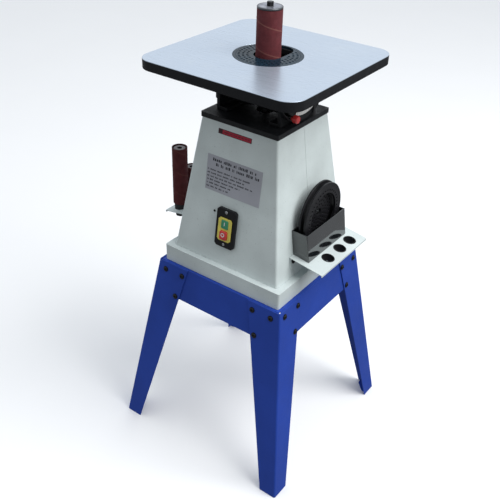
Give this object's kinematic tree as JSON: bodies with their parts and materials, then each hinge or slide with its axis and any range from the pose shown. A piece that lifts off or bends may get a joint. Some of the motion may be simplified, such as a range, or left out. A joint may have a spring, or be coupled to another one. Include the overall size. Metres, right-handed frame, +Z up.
{
  "type": "oscillating spindle sander",
  "caption": "Oscillating spindle sander: tilting square table with a long-holed insert, abrasive drum, tapered cabinet with spare drum and insert shelves, on a splayed sheet-steel stand.",
  "frame": {"origin": "on the floor under the spindle axis, at the centre of the four feet", "axes": "+Z up along the spindle; the operator stands at -Y, facing +Y; +X is to the operator's right and is the table's tilt axis"},
  "size_m": [0.4608, 0.4658, 1.0245],
  "materials": {
    "blue_paint": "satin blue powder coat on folded sheet steel",
    "grey_paint": "pale grey textured powder coat on sheet steel",
    "black_casting": "black painted sand-cast iron",
    "ground_iron": "ground cast-iron top, black painted rim and underside",
    "black_plastic": "moulded black plastic",
    "yellow_plastic": "moulded yellow plastic",
    "green_plastic": "moulded green button",
    "red_plastic": "moulded red plastic",
    "white_enamel": "white enamelled scale plate with plain graduations",
    "abrasive": "maroon abrasive grain on a wound cloth tube with a spiral seam",
    "rubber": "black rubber drum",
    "steel": "turned steel",
    "zinc_washer": "bright zinc-plated steel",
    "blackened_steel": "black oxide steel",
    "aluminium": "die-cast aluminium",
    "lamination": "stacked motor laminations",
    "bronze": "cast bronze"
  },
  "bodies": {
    "stand": {"leg_front_left": "blue_paint", "leg_front_right": "blue_paint", "leg_rear_left": "blue_paint", "leg_rear_right": "blue_paint", "apron_front": "blue_paint", "apron_rear": "blue_paint", "apron_left": "blue_paint", "apron_right": "blue_paint", "base_pan": "grey_paint", "cabinet_front_shell": "grey_paint", "cabinet_rear_shell": "grey_paint", "top_casting": "black_casting", "dust_port": "black_plastic", "cord_gland": "black_plastic", "switch_plate": "black_plastic", "switch_bezel": "yellow_plastic", "shelf_right": "grey_paint", "insert_holder": "black_plastic", "shelf_left": "grey_paint", "saddle_left": "black_casting", "saddle_right": "black_casting", "tilt_pointer": "blackened_steel", "guide_bolt_left": "blackened_steel", "lock_stud_right": "steel", "guide_column_left": "steel", "guide_column_right": "steel", "rod_anchor": "black_casting"},
    "table": {"table": "ground_iron", "trunnion_left": "black_casting", "trunnion_right": "black_casting", "tilt_scale": "white_enamel", "dust_shroud": "black_casting"},
    "insert": {"table_insert": "black_plastic"},
    "carriage": {"motor_casing": "aluminium", "stator_core": "lamination", "upper_end_bell": "aluminium", "lower_end_bell": "aluminium", "upper_bearing": "steel", "lower_bearing": "steel", "gearbox_housing": "aluminium"},
    "spindle": {"spindle_shaft": "steel", "rotor_core": "lamination", "worm": "steel", "lower_drum_washer": "zinc_washer", "rubber_drum": "rubber", "sanding_sleeve": "abrasive", "drum_washer": "zinc_washer", "drum_nut": "blackened_steel"},
    "crankshaft": {"worm_wheel": "bronze", "crank": "steel"},
    "rod": {"connecting_rod": "steel"},
    "start_button": {"start_button": "green_plastic"},
    "stop_button": {"stop_button": "red_plastic"},
    "lock_knob_right": {"lock_knob_right": "red_plastic"},
    "spare_insert_inner": {"stored_insert_inner": "black_plastic"},
    "spare_insert_outer": {"stored_insert_outer": "black_plastic"},
    "spare_drum_large": {"stored_drum_large": "rubber", "stored_sleeve_large": "abrasive"},
    "spare_drum_small": {"stored_drum_small": "rubber", "stored_sleeve_small": "abrasive"}
  },
  "joints": [
    {"name": "table_tilt", "type": "hinge", "parent": "stand", "child": "table", "pos_m": [0, 0, 0.905], "axis": [1, 0, 0], "range_deg": [0, 45]},
    {"name": "insert_lift", "type": "slide", "parent": "table", "child": "insert", "axis": [0, 0, 1], "range_m": [0, 0.01]},
    {"name": "oscillation", "type": "slide", "parent": "stand", "child": "carriage", "axis": [0, 0, 1], "range_m": [0, 0.024]},
    {"name": "spindle_spin", "type": "hinge", "parent": "carriage", "child": "spindle", "pos_m": [0, 0, 0.745], "axis": [0, 0, 1], "continuous": true},
    {"name": "crank_turn", "type": "hinge", "parent": "carriage", "child": "crankshaft", "pos_m": [0, 0.032, 0.578], "axis": [1, 0, 0], "continuous": true},
    {"name": "rod_swing", "type": "hinge", "parent": "crankshaft", "child": "rod", "pos_m": [0, 0.032, 0.59], "axis": [1, 0, 0], "continuous": true},
    {"name": "start_press", "type": "slide", "parent": "stand", "child": "start_button", "axis": [0, 0.9905, -0.1378], "range_m": [0, 0.002], "stiffness_N_per_m": 400, "springref_m": -0.0005},
    {"name": "stop_press", "type": "slide", "parent": "stand", "child": "stop_button", "axis": [0, 0.9905, -0.1378], "range_m": [0, 0.002], "stiffness_N_per_m": 400, "springref_m": -0.0005},
    {"name": "lock_right_turn", "type": "hinge", "parent": "stand", "child": "lock_knob_right", "pos_m": [0.0935, -0.04492, 0.82875], "axis": [1, 0, 0], "range_deg": [-270, 0]},
    {"name": "spare_insert_inner_lift", "type": "slide", "parent": "stand", "child": "spare_insert_inner", "axis": [0, 0, 1], "range_m": [0, 0.08]},
    {"name": "spare_insert_outer_lift", "type": "slide", "parent": "stand", "child": "spare_insert_outer", "axis": [0, 0, 1], "range_m": [0, 0.08]},
    {"name": "spare_drum_large_lift", "type": "slide", "parent": "stand", "child": "spare_drum_large", "axis": [0, 0, 1], "range_m": [0, 0.03]},
    {"name": "spare_drum_small_lift", "type": "slide", "parent": "stand", "child": "spare_drum_small", "axis": [0, 0, 1], "range_m": [0, 0.03]}
  ],
  "couplings": [
    {"joint": "crank_turn", "follows": "spindle_spin", "ratio": 0.033333},
    {"joint": "rod_swing", "follows": "spindle_spin", "ratio": -0.033333}
  ]
}
